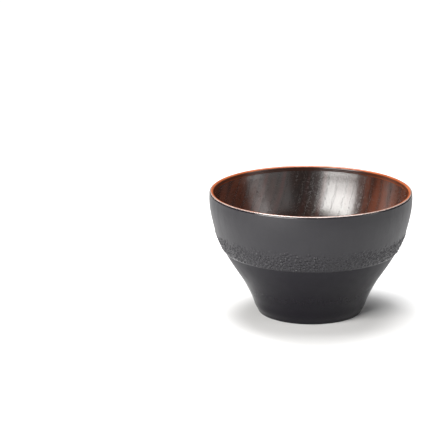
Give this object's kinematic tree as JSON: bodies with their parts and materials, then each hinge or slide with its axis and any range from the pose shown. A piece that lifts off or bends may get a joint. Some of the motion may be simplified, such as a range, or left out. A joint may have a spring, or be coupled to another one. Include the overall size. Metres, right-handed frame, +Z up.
{
  "type": "rice bowl",
  "caption": "Small lacquered turned-wood rice bowl on a low foot ring, with a textured band round its satin black outside and an amber lip.",
  "frame": {"origin": "centre of the foot ring's resting face", "axes": "+Z up along the bowl's turning axis, towards the mouth; the bowl is a body of revolution, so X and Y are interchangeable"},
  "size_m": [0.12, 0.12, 0.0734],
  "materials": {
    "turned_wood": "fine-turned, sealed under lacquer",
    "black_lacquer": "satin black lacquer with a fine orange peel",
    "textured_lacquer": "black lacquer worked into a pebbled relief",
    "amber_lacquer": "glossy translucent amber lacquer over wood",
    "brown_lacquer": "glossy translucent dark brown lacquer over wood grain"
  },
  "bodies": {
    "root": {"wood_body": "turned_wood", "upper_wall_lacquer": "black_lacquer", "textured_band": "textured_lacquer", "lower_wall_lacquer": "black_lacquer", "foot_ring_lacquer": "black_lacquer", "foot_recess_lacquer": "black_lacquer", "rim_lacquer": "amber_lacquer", "inner_lacquer": "brown_lacquer"}
  },
  "joints": []
}
